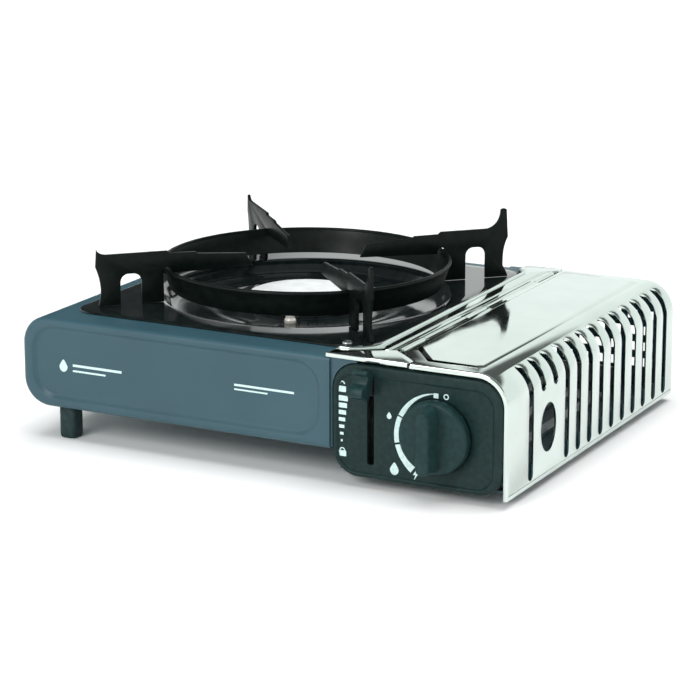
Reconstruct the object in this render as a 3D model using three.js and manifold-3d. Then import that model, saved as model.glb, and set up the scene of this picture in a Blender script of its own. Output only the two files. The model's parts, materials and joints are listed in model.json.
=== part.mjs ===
// Single-burner cartridge stove, millimetres, +Z up. Every piece is its own named mesh.
import * as THREE from 'three';
import { mergeVertices } from 'three/addons/utils/BufferGeometryUtils.js';
import Module from 'manifold-3d';

const wasm = await Module();
wasm.setup();

// ---------------------------------------------------------------- driving dimensions
const width = 340;
const depth = 270;
const left = -width / 2;
const right = width / 2;
const front = -depth / 2;
const back = depth / 2;
const knobReach = 20; // how far the control knob stands out of the front
const gap = 0.3; // between pieces that touch
const sheet = 1.2; // pressed steel wall

// blue casing, left of the cartridge bay
const casing = { right: 52, floor: 21.5, top: 80, corner: 18, topRight: 63.4 };
const recess = { x0: -163, x1: 45.5, z0: 27, z1: 75.5, corner: 17, deep: 1.2 };

// cartridge bay on the right
const bay = { left: 53.4, right: 167.3, floor: 7, top: 78.5, rear: 133.5, corner: 18 };
const cartridge = { x: 123.3, z: 44.5 };
const partitionX = 64;
const bulkheadY = -118.5;

// burner, tray and pan support share one vertical axis
const burner = { x: -36.5, y: 0 };
const tray = { x0: -146, x1: 67.7, y0: -114.5, y1: 118.5, corner: 15, top: 81.3, thick: 1 };
const dish = { rim: 97, floorRadius: 88, floor: 71.5, hole: 37 };
const supportFoot = tray.top + gap;

// chrome strip and cartridge lid
const lid = { left: 90, right, top: 81.5, bottom: 5.5, corner: 20, lip: 2.2, noseX: 105.5, noseY: -110 };
const lipTop = 82.5;
const strip = { x0: 49.5, inner: 68.5, front: -116, corner: 16, bead: 2.6, lipLow: 79.2 };
const hinge = { x: 86, z: 80, barrel: 2.2, bore: 1.4, pin: 1.1 };
const slots = { count: 13, first: -100.5, pitch: 18.2, width: 7.4, inner: 158.5, bottom: 9.2, shortBottom: 60.5 };
const oval = { y: -74.5, z: 36.2, wide: 23, tall: 31 };

// control panel
const fascia = { x0: 53.6, x1: 167.3, z0: 6.6, z1: 77.4, corner: 17, wall: 2.2, front: -134.6, rear: -124 };
const knob = { x: 123.3, z: 39.4, radius: 22.7 };
const leverSlot = { x0: 76.7, x1: 81.4, z0: 15.1, z1: 70 };

// lock lever: a bell crank on a pin along X that draws the carriage forward
const lever = { y: -95, z: 46.8, rest: 23, driveArm: 14, plateX: 78, thick: 2.5, grip0: 47.6, grip1: 59 };
const grip = { x0: 72.5, x1: 82.5 };

// ---------------------------------------------------------------- helpers
const dark = { color: 0x16191a, roughness: 0.35, metalness: 0 };
const blue = { color: 0x4f6a75, roughness: 0.42, metalness: 0.1 };
const chrome = { color: 0xdfe6e6, roughness: 0.08, metalness: 1 };
const zinc = { color: 0x9aa0a2, roughness: 0.4, metalness: 1 };
const alloy = { color: 0xc3c8c8, roughness: 0.35, metalness: 1 };
const brass = { color: 0xb08d45, roughness: 0.3, metalness: 1 };
const plastic = { color: 0x232a2b, roughness: 0.5, metalness: 0 };
const rubber = { color: 0x1a1c1c, roughness: 0.8, metalness: 0 };
const ceramic = { color: 0xece8de, roughness: 0.35, metalness: 0 };

function solid(geometry) {
  const bare = new THREE.BufferGeometry();
  bare.setAttribute('position', geometry.getAttribute('position'));
  if (geometry.index) bare.setIndex(geometry.index);
  const merged = mergeVertices(bare, 1e-4);
  const p = merged.getAttribute('position');
  const kept = [];
  let volume = 0;
  for (let i = 0; i < merged.index.count; i += 3) {
    const [a, b, c] = [0, 1, 2].map((k) => merged.index.getX(i + k));
    if (a === b || b === c || c === a) continue;
    kept.push([a, b, c]);
    const [va, vb, vc] = [a, b, c].map((n) => new THREE.Vector3().fromBufferAttribute(p, n));
    volume += va.dot(vb.cross(vc));
  }
  const facing = volume < 0 ? kept.map(([a, b, c]) => [a, c, b]) : kept;
  return new wasm.Manifold(new wasm.Mesh({
    numProp: 3,
    vertProperties: new Float32Array(p.array),
    triVerts: new Uint32Array(facing.flat()),
  }));
}

function toGeometry(body) {
  const mesh = body.getMesh();
  const geometry = new THREE.BufferGeometry();
  geometry.setAttribute('position', new THREE.BufferAttribute(new Float32Array(mesh.vertProperties), 3));
  geometry.setIndex(new THREE.BufferAttribute(new Uint32Array(mesh.triVerts), 1));
  geometry.computeVertexNormals();
  return geometry;
}

const join = (...bodies) => bodies.reduce((sum, body) => sum.add(body));
const cut = (body, ...tools) => tools.reduce((rest, tool) => rest.subtract(tool), body);

// a box between two corners
function block(x0, x1, y0, y1, z0, z1) {
  const geometry = new THREE.BoxGeometry(x1 - x0, y1 - y0, z1 - z0);
  geometry.translate((x0 + x1) / 2, (y0 + y1) / 2, (z0 + z1) / 2);
  return solid(geometry);
}

const axes = {
  X: [new THREE.Vector3(0, 1, 0), new THREE.Vector3(0, 0, 1), new THREE.Vector3(1, 0, 0)],
  Y: [new THREE.Vector3(1, 0, 0), new THREE.Vector3(0, 0, 1), new THREE.Vector3(0, -1, 0)],
  Z: [new THREE.Vector3(1, 0, 0), new THREE.Vector3(0, 1, 0), new THREE.Vector3(0, 0, 1)],
};

// an outline extruded along an axis, from low to high: drawn as (y, z), (x, z) or (x, y);
// an arc in it gets twice as many steps as curveSegments
function plate(axis, shape, low, high, curveSegments = 4) {
  const geometry = new THREE.ExtrudeGeometry(shape, { depth: high - low, bevelEnabled: false, curveSegments });
  geometry.applyMatrix4(new THREE.Matrix4().makeBasis(...axes[axis]));
  const start = axis === 'Y' ? high : low;
  geometry.translate(axis === 'X' ? start : 0, axis === 'Y' ? start : 0, axis === 'Z' ? start : 0);
  return solid(geometry);
}

// a rod along an axis between two places on it, centred at (a, b) in the other two
function rod(axis, a, b, radius, low, high, sides = 24) {
  const outline = new THREE.Shape().absarc(a, b, radius, 0, 2 * Math.PI);
  return plate(axis, outline, low, high, sides / 2);
}

function ring(axis, a, b, outer, inner, low, high, sides = 24) {
  return cut(rod(axis, a, b, outer, low, high, sides), rod(axis, a, b, inner, low - 1, high + 1, sides));
}

// a rounded rectangle; corners lists the radii at (low, low), (high, low), (high, high), (low, high)
function roundRect(x0, x1, y0, y1, corners) {
  const [a, b, c, d] = Array.isArray(corners) ? corners : [corners, corners, corners, corners];
  const shape = new THREE.Shape();
  const turn = Math.PI / 2;
  const corner = (x, y, r, start) => (r > 0 ? shape.absarc(x, y, r, start, start + turn) : shape.lineTo(x, y));
  shape.moveTo(x0 + a, y0);
  corner(x1 - b, y0 + b, b, -turn);
  corner(x1 - c, y1 - c, c, 0);
  corner(x0 + d, y1 - d, d, turn);
  corner(x0 + a, y0 + a, a, 2 * turn);
  return shape;
}

function polygon(points) {
  return new THREE.Shape(points.map(([x, y]) => new THREE.Vector2(x, y)));
}

// a stadium between two points
function capsule(x0, y0, x1, y1, radius) {
  const along = Math.atan2(y1 - y0, x1 - x0);
  const shape = new THREE.Shape();
  shape.absarc(x1, y1, radius, along - Math.PI / 2, along + Math.PI / 2);
  shape.absarc(x0, y0, radius, along + Math.PI / 2, along + 1.5 * Math.PI);
  return shape;
}

// a profile of (radius, height) turned about Z, or about Y with its height along +Y
function turned(axis, profile, x, other, segments = 48) {
  const points = profile.map(([r, h]) => new THREE.Vector2(r, h));
  const geometry = new THREE.LatheGeometry(points, segments);
  if (axis === 'Z') geometry.rotateX(Math.PI / 2);
  geometry.translate(x, axis === 'Z' ? other : 0, axis === 'Y' ? other : 0);
  return solid(geometry);
}

const stove = new THREE.Group();
// the knob stands out in front, so the whole stove moves back by half of that
stove.position.set(0, knobReach / 2, 0);

function piece(name, body, look) {
  const material = new THREE.MeshStandardMaterial(look);
  const mesh = new THREE.Mesh(body.getMesh ? toGeometry(body) : body, material);
  mesh.name = name;
  stove.add(mesh);
  return mesh;
}

// ---------------------------------------------------------------- blue casing
function casingProfile(inset) {
  const r = casing.corner - inset;
  const shape = new THREE.Shape();
  shape.moveTo(casing.topRight + inset, casing.top - inset);
  shape.lineTo(left + casing.corner, casing.top - inset);
  shape.absarc(left + casing.corner, casing.top - casing.corner, r, Math.PI / 2, Math.PI);
  shape.absarc(left + casing.corner, casing.floor + casing.corner, r, Math.PI, 1.5 * Math.PI);
  if (inset > 0) {
    shape.lineTo(casing.topRight + inset, casing.floor + inset);
    return shape;
  }
  shape.lineTo(casing.right, casing.floor);
  shape.lineTo(casing.right, casing.top - sheet);
  shape.lineTo(casing.topRight, casing.top - sheet);
  return shape;
}

function makeCasing() {
  const wall = 1.5;
  const outer = plate('Y', casingProfile(0), front, back);
  const inner = plate('Y', casingProfile(sheet), front + wall, back - wall);
  const opening = roundRect(recess.x0, recess.x1, recess.z0, recess.z1, recess.corner);
  const lap = 2.5;
  const sunk = roundRect(
    recess.x0 - lap, recess.x1 + lap, recess.z0 - lap, recess.z1 + lap, recess.corner + lap);
  const panelY = front + recess.deep;
  const tongue = block(strip.x0 - gap, casing.topRight + 1, front - 1, front + wall, strip.lipLow - gap, 90);
  const side = block(casing.right, casing.topRight + 1, front - 1, front + wall + gap, 70, 90);
  const rearTongue = block(casing.right, casing.topRight + 1, back - wall - gap, back + 1, 70, 90);
  const shell = cut(
    outer, inner, tongue, side, rearTongue,
    plate('Y', opening, front - 1, front + wall + 1),
    rod('Z', burner.x, burner.y, dish.rim + 1, 70, 90, 64));
  return join(shell, plate('Y', sunk, panelY, panelY + wall));
}
piece('casing', makeCasing(), blue);

// ---------------------------------------------------------------- cartridge bay
function makeBay() {
  const { left: x0, right: x1, floor, rear } = bay;
  const step = block(x0, x0 + sheet, fascia.rear + gap, rear, floor, casing.floor - gap);
  const base = block(x0, x1, fascia.rear + gap, rear, floor, floor + sheet);
  const kerb = block(x1 - sheet, x1, fascia.rear + gap, rear, floor, 18);
  const wall = plate('Y', roundRect(x0, x1, floor, bay.top, [0, 0, bay.corner, 0]), rear - sheet, rear);
  const vents = [];
  for (let row = 0; row < 4; row += 1) {
    for (let column = 0; column < 8; column += 1) {
      const x = 68 + 11.6 * column;
      const z = 24 + 11 * row;
      vents.push(block(x, x + 7, rear - 3, rear + 1, z - 3, z + 3));
    }
  }
  return cut(join(step, base, kerb, wall), ...vents);
}
piece('bay_tub', makeBay(), blue);

// the mixing tube runs from the jet by the regulator to the burner
const tubeStart = new THREE.Vector3(92, -76, 58);
const tubeRun = new THREE.Vector3(burner.x, burner.y, 58).sub(tubeStart);
const tubeLength = tubeRun.length();
const tubeAngle = Math.atan2(tubeRun.y, tubeRun.x);

// a profile of (radius, distance) turned about the mixing tube's line
function onTube(profile, segments = 24) {
  const geometry = new THREE.LatheGeometry(profile.map(([r, h]) => new THREE.Vector2(r, h)), segments);
  geometry.rotateZ(-Math.PI / 2);
  geometry.rotateZ(tubeAngle);
  geometry.translate(tubeStart.x, tubeStart.y, tubeStart.z);
  return solid(geometry);
}

const leadHole = { y: -78, z: 27 };
function makePartition() {
  const wall = block(partitionX, partitionX + sheet, -122, 132, bay.floor + sheet + gap, 78.4);
  const way = onTube([[0, 0], [9, 0], [9, 60], [0, 60]]);
  return cut(wall, way, rod('X', leadHole.y, leadHole.z, 3, partitionX - 1, partitionX + 3, 12));
}
piece('bay_partition', makePartition(), zinc);

function makeBulkhead() {
  const outline = roundRect(partitionX + sheet + gap, 165, bay.floor + sheet + gap, 77, [0, 0, 17, 0]);
  const wall = plate('Y', outline, bulkheadY, bulkheadY + sheet);
  const ears = [74, 81.4].map((x) => {
    const side = roundRect(bulkheadY + 0.6, lever.y + 6, lever.z - 7, lever.z + 7, [0, 6, 6, 0]);
    const ear = plate('X', side, x, x + sheet);
    return cut(ear, rod('X', lever.y, lever.z, 2 + gap, x - 1, x + 3, 12));
  });
  return cut(
    join(wall, ...ears),
    block(76.2, 80.9, bulkheadY - 1, bulkheadY + 3, 15, 72),
    rod('Y', knob.x, knob.z, 6, bulkheadY - 1, bulkheadY + 3));
}
piece('bulkhead', makeBulkhead(), zinc);

const rest = { x0: 108, x1: 139, y0: -45, y1: 95, thick: 2.4 };
function makeCartridgeRest() {
  const low = bay.floor + sheet + gap;
  const blade = block(rest.x0, rest.x1, rest.y0, rest.y1, low, low + rest.thick);
  const slot = plate('Z', roundRect(rest.x0 + 8, rest.x1 - 8, rest.y0 + 20, rest.y1 - 20, 6), low - 1, low + 5);
  return cut(blade, slot);
}
piece('cartridge_rest', makeCartridgeRest(), zinc);

// ---------------------------------------------------------------- feet
function makeFoot(x, y, top, size) {
  const outline = roundRect(x - size / 2, x + size / 2, y - size / 2, y + size / 2, 3);
  return plate('Z', outline, 0, top - gap, 2);
}
const foot = { size: 12, tallX: -142, tallY: 123, shortX: 138, shortY: 109 };
piece('foot_front_left', makeFoot(foot.tallX, -foot.tallY, casing.floor, foot.size), rubber);
piece('foot_rear_left', makeFoot(foot.tallX, foot.tallY, casing.floor, foot.size), rubber);
piece('foot_front_right', makeFoot(foot.shortX, -foot.shortY, bay.floor, foot.size), rubber);
piece('foot_rear_right', makeFoot(foot.shortX, foot.shortY, bay.floor, foot.size), rubber);

// ---------------------------------------------------------------- drip tray
function makeTray() {
  const low = tray.top - tray.thick;
  const sheetTop = plate('Z', roundRect(tray.x0, tray.x1, tray.y0, tray.y1, tray.corner), low, tray.top);
  const t = tray.thick;
  const bowl = turned('Z', [
    [dish.hole, dish.floor - t],
    [dish.floorRadius, dish.floor - t],
    [dish.rim - 1, low - 0.2],
    [dish.rim, low + 0.2],
    [dish.rim, tray.top],
    [dish.rim - 2, tray.top],
    [dish.floorRadius - 1, dish.floor],
    [dish.hole + t, dish.floor],
    [dish.hole + t, dish.floor + 3],
    [dish.hole, dish.floor + 3],
    [dish.hole, dish.floor - t],
  ], burner.x, burner.y, 64);
  const mouth = rod('Z', burner.x, burner.y, dish.rim - 1, 60, 90, 64);
  return cut(join(cut(sheetTop, mouth), bowl), rod('Z', electrode.x, electrode.y, 4.5, 60, 78, 12));
}
const electrodeRadius = 45;
const electrodeAngle = THREE.MathUtils.degToRad(-75);
const electrode = {
  x: burner.x + electrodeRadius * Math.cos(electrodeAngle),
  y: burner.y + electrodeRadius * Math.sin(electrodeAngle),
};
piece('drip_tray', makeTray(), dark);

const trayScrews = [[50, -107.5], [-128, 111]];
trayScrews.forEach(([x, y], i) => {
  const z = tray.top + gap;
  const head = [[0, z], [3.2, z], [3, z + 0.9], [1.6, z + 1.7], [0, z + 1.9]];
  piece(`tray_screw_${i + 1}`, turned('Z', head, x, y, 16), zinc);
});

// ---------------------------------------------------------------- chrome strip beside the tray
function stripOutline() {
  const shape = new THREE.Shape();
  shape.moveTo(strip.inner - 6.5, back);
  shape.lineTo(strip.inner - 6.5, tray.y1 + 2);
  shape.lineTo(strip.inner, tray.y1 - 4.5);
  shape.lineTo(strip.inner, strip.front + strip.corner);
  shape.absarc(strip.inner - strip.corner, strip.front + strip.corner, strip.corner, 0, -Math.PI / 2, true);
  shape.lineTo(strip.x0, strip.front);
  shape.lineTo(strip.x0, front);
  shape.lineTo(lid.noseX - 1.3, front);
  shape.lineTo(lid.noseX - 1.3, lid.noseY - 16.4);
  shape.lineTo(lid.left - 1.8, lid.noseY - 0.4);
  shape.lineTo(hinge.x - 3, lid.noseY + 3);
  shape.lineTo(hinge.x - 3, 123);
  shape.lineTo(lid.left - 1.8, 126);
  shape.lineTo(lid.left - 1.8, back);
  return shape;
}

function beadOutline() {
  const shape = new THREE.Shape();
  const r = strip.corner;
  shape.moveTo(strip.inner, tray.y1 - 4.5);
  shape.lineTo(strip.inner, strip.front + r);
  shape.absarc(strip.inner - r, strip.front + r, r, 0, -Math.PI / 2, true);
  shape.lineTo(strip.x0, strip.front);
  shape.lineTo(strip.x0, strip.front - strip.bead);
  shape.absarc(strip.inner - r, strip.front + r, r + strip.bead, -Math.PI / 2, 0);
  shape.lineTo(strip.inner + strip.bead, tray.y1 - 4.5);
  return shape;
}

const stripBarrels = [[-106, -76], [-16, 14], [92, 122]];
const lidBarrels = [[-75.5, -16.5], [14.5, 91.5]];
function makeStrip() {
  const low = lid.top - sheet;
  const lip = block(strip.x0, lid.noseX - 1.3, front, front + sheet, strip.lipLow, lipTop);
  const rearLip = block(strip.inner, lid.left - 1.8, back - sheet, back, strip.lipLow, lid.top);
  let body = join(plate('Z', stripOutline(), low, lid.top), lip, rearLip,
    plate('Z', beadOutline(), low, lid.top + 1.2));
  for (const [y0, y1] of stripBarrels) {
    body = join(body, block(hinge.x - 3.2, hinge.x - 1.5, y0, y1, low, lid.top),
      rod('Y', hinge.x, hinge.z, hinge.barrel, y0, y1, 16));
  }
  return cut(body, rod('Y', hinge.x, hinge.z, hinge.bore, -107, 123, 16));
}
piece('top_strip', makeStrip(), chrome);
piece('hinge_pin', rod('Y', hinge.x, hinge.z, hinge.pin, -107, 123, 12), zinc);

// ---------------------------------------------------------------- cartridge lid
function lidProfile(inset, x0) {
  const r = lid.corner - inset;
  const cx = lid.right - lid.corner;
  const cz = lid.top - lid.corner;
  const shape = new THREE.Shape();
  shape.moveTo(x0, lid.top - inset);
  shape.lineTo(cx, lid.top - inset);
  shape.absarc(cx, cz, r, Math.PI / 2, 0, true);
  shape.lineTo(lid.right - inset, lid.bottom - (inset ? 5 : 0));
  shape.lineTo(x0, lid.bottom - (inset ? 5 : 0));
  return shape;
}

function makeLid() {
  const outer = plate('Y', lidProfile(0, lid.left), front, back, 5);
  const inner = plate('Y', lidProfile(sheet, lid.left - 5), front + sheet, back - sheet, 5);
  const mouth = plate('Y', lidProfile(lid.lip, lid.left - 5), front - 1, back + 1, 5);
  const frontBead = plate('Y', polygon([
    [lid.noseX, lid.top - 0.2], [lid.right - lid.corner, lid.top - 0.2],
    [lid.right - lid.corner, lipTop - 0.4], [lid.right - lid.corner - 3, lipTop], [lid.noseX, lipTop],
  ]), front, front + sheet);
  const nose = plate('Z', polygon([
    [lid.left - 1, front - 1], [lid.noseX, front - 1], [lid.noseX, lid.noseY - 16],
    [lid.left, lid.noseY], [lid.left - 1, lid.noseY],
  ]), 70, 90);
  const raised = plate('Z', polygon([
    [95, -100], [114, -121], [146, -121], [146, 119], [95, 119],
  ]), lid.top - 0.4, lid.top + 0.5);
  let shell = join(cut(outer, inner, mouth), frontBead, raised);
  for (const [y0, y1] of lidBarrels) {
    shell = join(shell, block(hinge.x + 1.5, lid.left + 0.2, y0, y1, lid.top - sheet, lid.top),
      rod('Y', hinge.x, hinge.z, hinge.barrel, y0, y1, 16));
  }
  const cuts = [nose, rod('Y', hinge.x, hinge.z, hinge.bore, -107, 123, 16)];
  for (let i = 0; i < slots.count; i += 1) {
    const y = slots.first + slots.pitch * i;
    const low = i === 1 || i === 2 ? slots.shortBottom : slots.bottom;
    cuts.push(block(slots.inner, right + 1, y - slots.width / 2, y + slots.width / 2, low, 90));
  }
  const hole = new THREE.Shape().absellipse(oval.y, oval.z, oval.wide / 2, oval.tall / 2, 0, 2 * Math.PI);
  cuts.push(plate('X', hole, right - 5, right + 1, 12));
  return cut(shell, ...cuts);
}
piece('cartridge_lid', makeLid(), chrome);

// ---------------------------------------------------------------- control panel
function makeFascia() {
  const { x0, x1, z0, z1, corner, wall } = fascia;
  const outer = plate('Y', roundRect(x0, x1, z0, z1, corner), fascia.front, fascia.rear);
  const inner = plate('Y', roundRect(x0 + wall, x1 - wall, z0 + wall, z1 - wall, corner - wall),
    fascia.front + wall, fascia.rear + 1);
  const slot = roundRect(leverSlot.x0, leverSlot.x1, leverSlot.z0, leverSlot.z1, 1);
  return cut(outer, inner, rod('Y', knob.x, knob.z, 5.5, front - 1, front + 5),
    plate('Y', slot, front - 1, front + 5));
}
piece('fascia', makeFascia(), plastic);

const spindle = { radius: 4, rear: -104.5 };
const regulatorFront = -112;
function makeKnob() {
  const base = turned('Y', [
    [0, front - 0.8], [knob.radius, front - 0.8], [knob.radius, front - 3.4], [knob.radius - 1.2, front - 5.2],
    [knob.radius - 2.6, front - 5.9], [0, front - 5.9],
  ], knob.x, knob.z);
  const bar = plate('Y', roundRect(knob.x - 4.6, knob.x + 4.6, knob.z - 19.5, knob.z + 19.5, 4.5),
    front - knobReach, front - 5.4);
  return cut(join(base, bar), rod('Y', knob.x, knob.z, spindle.radius + gap, front - 6, front));
}
piece('control_knob', makeKnob(), plastic);

function makeSpindle() {
  const shaft = rod('Y', knob.x, knob.z, spindle.radius, front - 5.7, spindle.rear);
  // the cam that trips the spark unit
  const cam = plate('Y', capsule(knob.x, knob.z, knob.x + 5, knob.z - 7, 3), -116.5, -113.5);
  return join(shaft, cam);
}
piece('valve_spindle', makeSpindle(), zinc);

// ---------------------------------------------------------------- regulator and gas way
function makeRegulator() {
  const r = 24;
  const drum = turned('Y', [
    [0, regulatorFront], [r - 3, regulatorFront], [r, -109], [r, -104.4], [r + 2, -104.2], [r + 2, -101.8],
    [r, -101.6], [r - 1, -95], [14, -92], [0, -92],
  ], cartridge.x, cartridge.z, 40);
  const outlet = block(101.5, 112, -98, -79.5, 52, 64);
  return cut(join(drum, outlet), rod('Y', knob.x, knob.z, spindle.radius + gap, regulatorFront - 1, -103));
}
piece('regulator', makeRegulator(), alloy);
for (const [i, dx] of [-18, 18].entries()) {
  const y = bulkheadY + sheet + gap;
  piece(`regulator_post_${i + 1}`,
    rod('Y', cartridge.x + dx, cartridge.z + 12, 3, y, regulatorFront - gap, 12), zinc);
}

piece('cartridge_connector', turned('Y', [
  [0, -91.7], [10, -91.7], [10, -86], [4.3, -85.4], [4.3, -79.5], [3.6, -79], [0, -79],
], cartridge.x, cartridge.z, 24), brass);
piece('connector_seal', ring('Y', cartridge.x, cartridge.z, 8.5, 4.7, -85, -82, 12), rubber);

piece('jet', onTube([[0, -7.8], [4, -7.8], [4, -5.6], [2.6, -5.2], [2.2, -3.2], [0, -3.2]], 12), brass);

const burnerBase = { radius: 26, low: 49 };
function makeMixingTube() {
  const end = tubeLength - burnerBase.radius - gap;
  return onTube([
    [10.2, 0], [9.5, 1.5], [8, 6], [8, end], [6.8, end], [6.8, 6.4], [8.3, 2], [9.2, 0], [10.2, 0],
  ]);
}
piece('mixing_tube', makeMixingTube(), alloy);

function makeBurnerBase() {
  const r = burnerBase.radius;
  const z = burnerBase.low;
  const cup = turned('Z', [
    [0, z], [r - 3, z], [r, z + 3], [r, 66], [34, 72.4], [34, 73.9], [32.4, 73.9], [32.4, 73],
    [r - 1.6, 67], [r - 1.6, z + 3.6], [r - 3.6, z + 1.6], [0, z + 1.6],
  ], burner.x, burner.y);
  return cut(cup, onTube([[0, tubeLength - r - 5], [6.8, tubeLength - r - 5], [6.8, tubeLength - 10],
    [0, tubeLength - 10]]));
}
piece('burner_base', makeBurnerBase(), alloy);

function makeBurnerHead() {
  const head = turned('Z', [
    [24, 74.2], [34, 74.2], [36, 75.2], [36, 76.2], [35, 76.8], [35, 78.8], [31, 78.8], [29, 76.4], [24, 75.4],
    [24, 74.2],
  ], burner.x, burner.y, 48);
  const ports = [];
  for (let i = 0; i < 24; i += 1) {
    const notch = new THREE.BoxGeometry(11, 1.6, 2.6);
    notch.translate(32.5, 0, 78.4);
    notch.rotateZ((i + 0.5) * Math.PI / 12);
    notch.translate(burner.x, burner.y, 0);
    ports.push(solid(notch));
  }
  return cut(head, ...ports);
}
piece('burner_head', makeBurnerHead(), alloy);
piece('burner_cap', turned('Z', [
  [0, 79.1], [36.6, 79.1], [38, 79.4], [38, 80], [35.5, 80.9], [20, 81.5], [0, 81.7],
], burner.x, burner.y, 48), alloy);

function makeBurnerBracket() {
  const low = casing.floor + sheet + gap;
  const high = burnerBase.low - gap;
  const x = burner.x;
  const t = 1.5;
  const shape = polygon([
    [x - 42, low], [x - 26, low], [x - 16, high - t], [x + 16, high - t], [x + 26, low], [x + 42, low],
    [x + 42, low + t], [x + 26.8, low + t], [x + 16.8, high], [x - 16.8, high], [x - 26.8, low + t], [x - 42, low + t],
  ]);
  return plate('Y', shape, burner.y - 14, burner.y + 14);
}
piece('burner_bracket', makeBurnerBracket(), zinc);

// ---------------------------------------------------------------- spark ignition
const piezo = { x0: 138, x1: 151, y0: -116.9, y1: -86, z0: 10, z1: 22 };
function makePiezo() {
  const body = plate('Y', roundRect(piezo.x0, piezo.x1, piezo.z0, piezo.z1, 2), piezo.y0, piezo.y1);
  const neck = rod('Y', (piezo.x0 + piezo.x1) / 2, (piezo.z0 + piezo.z1) / 2, 3, piezo.y1 - 1, piezo.y1 + 4, 12);
  return join(body, neck);
}
piece('piezo_igniter', makePiezo(), plastic);

piece('electrode_insulator', turned('Z', [
  [0, 56], [3, 56], [3, 66], [3.9, 67], [3.9, 73], [3, 74.5], [2.4, 80], [0, 80],
], electrode.x, electrode.y, 16), ceramic);

function tube(points, radius, steps, sides) {
  const outline = new THREE.Shape().absarc(0, 0, radius, 0, 2 * Math.PI);
  const path = new THREE.CatmullRomCurve3(points.map((p) => new THREE.Vector3(...p)));
  return solid(new THREE.ExtrudeGeometry(outline, {
    steps, extrudePath: path, curveSegments: sides / 2, bevelEnabled: false,
  }));
}

function makeElectrode() {
  const toward = new THREE.Vector2(burner.x - electrode.x, burner.y - electrode.y).normalize();
  const at = (d, z) => [electrode.x + toward.x * d, electrode.y + toward.y * d, z];
  return tube([at(0, 80.3), at(0, 82), at(0.8, 84), at(3, 85.2), at(8, 85.2)], 0.9, 12, 8);
}
piece('spark_electrode', makeElectrode(), zinc);

const leadRoute = [
  [(piezo.x0 + piezo.x1) / 2, piezo.y1 + 4.8, 16], [143, -78.2, 15.8], [133, -76.5, 15], [118, -78.5, 15],
  [100, -80, 15.5], [88, -79.5, 18], [76, -78.5, 24], [partitionX, leadHole.y, leadHole.z], [50, -74, 28.5],
  [28, -66, 30], [4, -58, 33], [-16, -50, 38], [electrode.x, electrode.y, 47], [electrode.x, electrode.y, 55.6],
];
piece('igniter_lead', tube(leadRoute, 1.3, 48, 8), rubber);

// ---------------------------------------------------------------- lock lever and carriage
const restAngle = THREE.MathUtils.degToRad(lever.rest);
const armWay = (r, side = 0) => [
  lever.y - r * Math.cos(restAngle) + side * Math.sin(restAngle),
  lever.z + r * Math.sin(restAngle) + side * Math.cos(restAngle),
];
const drive = {
  y: lever.y + lever.driveArm * Math.sin(restAngle),
  z: lever.z + lever.driveArm * Math.cos(restAngle),
  radius: 1.6,
};

function makeLever() {
  const x0 = lever.plateX;
  const x1 = x0 + lever.thick;
  const tip = lever.grip0 - gap;
  const arm = polygon([armWay(0, -4), armWay(tip, -4), armWay(tip, 4), armWay(0, 4)]);
  const hub = new THREE.Shape().absarc(lever.y, lever.z, 6.5, 0, 2 * Math.PI);
  const crank = capsule(lever.y, lever.z, drive.y, drive.z, 3.4);
  return cut(
    join(plate('X', arm, x0, x1), plate('X', hub, x0, x1), plate('X', crank, x0, x1)),
    rod('X', lever.y, lever.z, 2 + gap, x0 - 1, x1 + 1, 12));
}
piece('lever_plate', makeLever(), zinc);

function makeGrip() {
  const outline = new THREE.Shape();
  const half = 8.4;
  outline.moveTo(...armWay(lever.grip0, -half));
  outline.lineTo(...armWay(lever.grip1 - 2, -half));
  outline.quadraticCurveTo(...armWay(lever.grip1, -half), ...armWay(lever.grip1, -half + 2.5));
  outline.lineTo(...armWay(lever.grip1 - 1, 0));
  outline.lineTo(...armWay(lever.grip1, half - 2.5));
  outline.quadraticCurveTo(...armWay(lever.grip1, half), ...armWay(lever.grip1 - 2, half));
  outline.lineTo(...armWay(lever.grip0, half));
  return plate('X', outline, grip.x0, grip.x1, 4);
}
piece('lever_grip', makeGrip(), plastic);

const linkX = 84;
const pinStart = lever.plateX + lever.thick + gap;
piece('lever_drive_pin', rod('X', drive.y, drive.z, drive.radius, pinStart, linkX + 1.8, 12), zinc);
piece('lever_pivot_pin', rod('X', lever.y, lever.z, 2, 73, 83.2, 12), zinc);

function makeCarriage() {
  const low = bay.floor + sheet + 1.2;
  const high = low + 1.5;
  const bar = block(linkX, 92, -97, 121, low, high);
  const hook = plate('Y', roundRect(linkX, 139, low, 22, [0, 0, 5, 5]), 119.5, 121);
  const link = plate('X', roundRect(-97, -85, low, drive.z + 6, [0, 0, 4, 4]), linkX, linkX + 1.5);
  const reach = drive.radius + gap;
  const slot = roundRect(drive.y - reach, drive.y + reach, drive.z - reach, drive.z + reach + 1.3, 1.2);
  return cut(join(bar, hook, link), plate('X', slot, linkX - 1, linkX + 3));
}
piece('carriage', makeCarriage(), zinc);

// ---------------------------------------------------------------- pan support
const ringTop = 103.7;
function makeRing(profile) {
  return turned('Z', profile, burner.x, burner.y, 64);
}
piece('support_ring', makeRing([
  [89.6, 87], [95.4, 102.6], [94.9, ringTop], [93.4, ringTop], [92.7, 102.4], [88, 87.4], [88.2, 87], [89.6, 87],
]), dark);

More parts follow.
